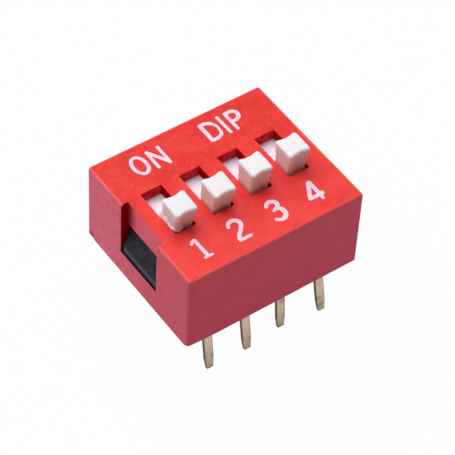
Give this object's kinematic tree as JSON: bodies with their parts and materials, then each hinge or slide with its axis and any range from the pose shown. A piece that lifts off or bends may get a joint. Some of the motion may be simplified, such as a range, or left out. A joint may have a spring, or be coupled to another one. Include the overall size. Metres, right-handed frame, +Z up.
{
  "type": "dip switch",
  "caption": "Slide dip switch for a circuit board: white knobs in a slotted red cover, black snap-in base, and two rows of flat through-hole pins.",
  "frame": {"origin": "middle of the underside, in the plane that sits on the circuit board", "axes": "+X along the switches from the first to the last, +Y to the on side, +Z up"},
  "size_m": [0.0116, 0.01, 0.0107],
  "materials": {
    "red_plastic": "satin",
    "black_plastic": "matte",
    "white_plastic": "satin",
    "terminal_brass": "dull, tarnished",
    "contact_metal": "bright plated",
    "resin": "gloss"
  },
  "bodies": {
    "housing": {"cover": "red_plastic", "base": "black_plastic", "seal_front": "resin", "seal_rear": "resin", "terminal_front_1": "terminal_brass", "terminal_front_2": "terminal_brass", "terminal_front_3": "terminal_brass", "terminal_front_4": "terminal_brass", "terminal_rear_1": "terminal_brass", "terminal_rear_2": "terminal_brass", "terminal_rear_3": "terminal_brass", "terminal_rear_4": "terminal_brass"},
    "switch_1": {"slider_1": "white_plastic", "contact_1": "contact_metal"},
    "switch_2": {"slider_2": "white_plastic", "contact_2": "contact_metal"},
    "switch_3": {"slider_3": "white_plastic", "contact_3": "contact_metal"},
    "switch_4": {"slider_4": "white_plastic", "contact_4": "contact_metal"}
  },
  "joints": [
    {"name": "slide_1", "type": "slide", "parent": "housing", "child": "switch_1", "axis": [0, 1, 0], "range_m": [0, 0.00167]},
    {"name": "slide_2", "type": "slide", "parent": "housing", "child": "switch_2", "axis": [0, 1, 0], "range_m": [0, 0.00167]},
    {"name": "slide_3", "type": "slide", "parent": "housing", "child": "switch_3", "axis": [0, 1, 0], "range_m": [-0.00004, 0.00163]},
    {"name": "slide_4", "type": "slide", "parent": "housing", "child": "switch_4", "axis": [0, 1, 0], "range_m": [-0.00006, 0.00161]}
  ]
}
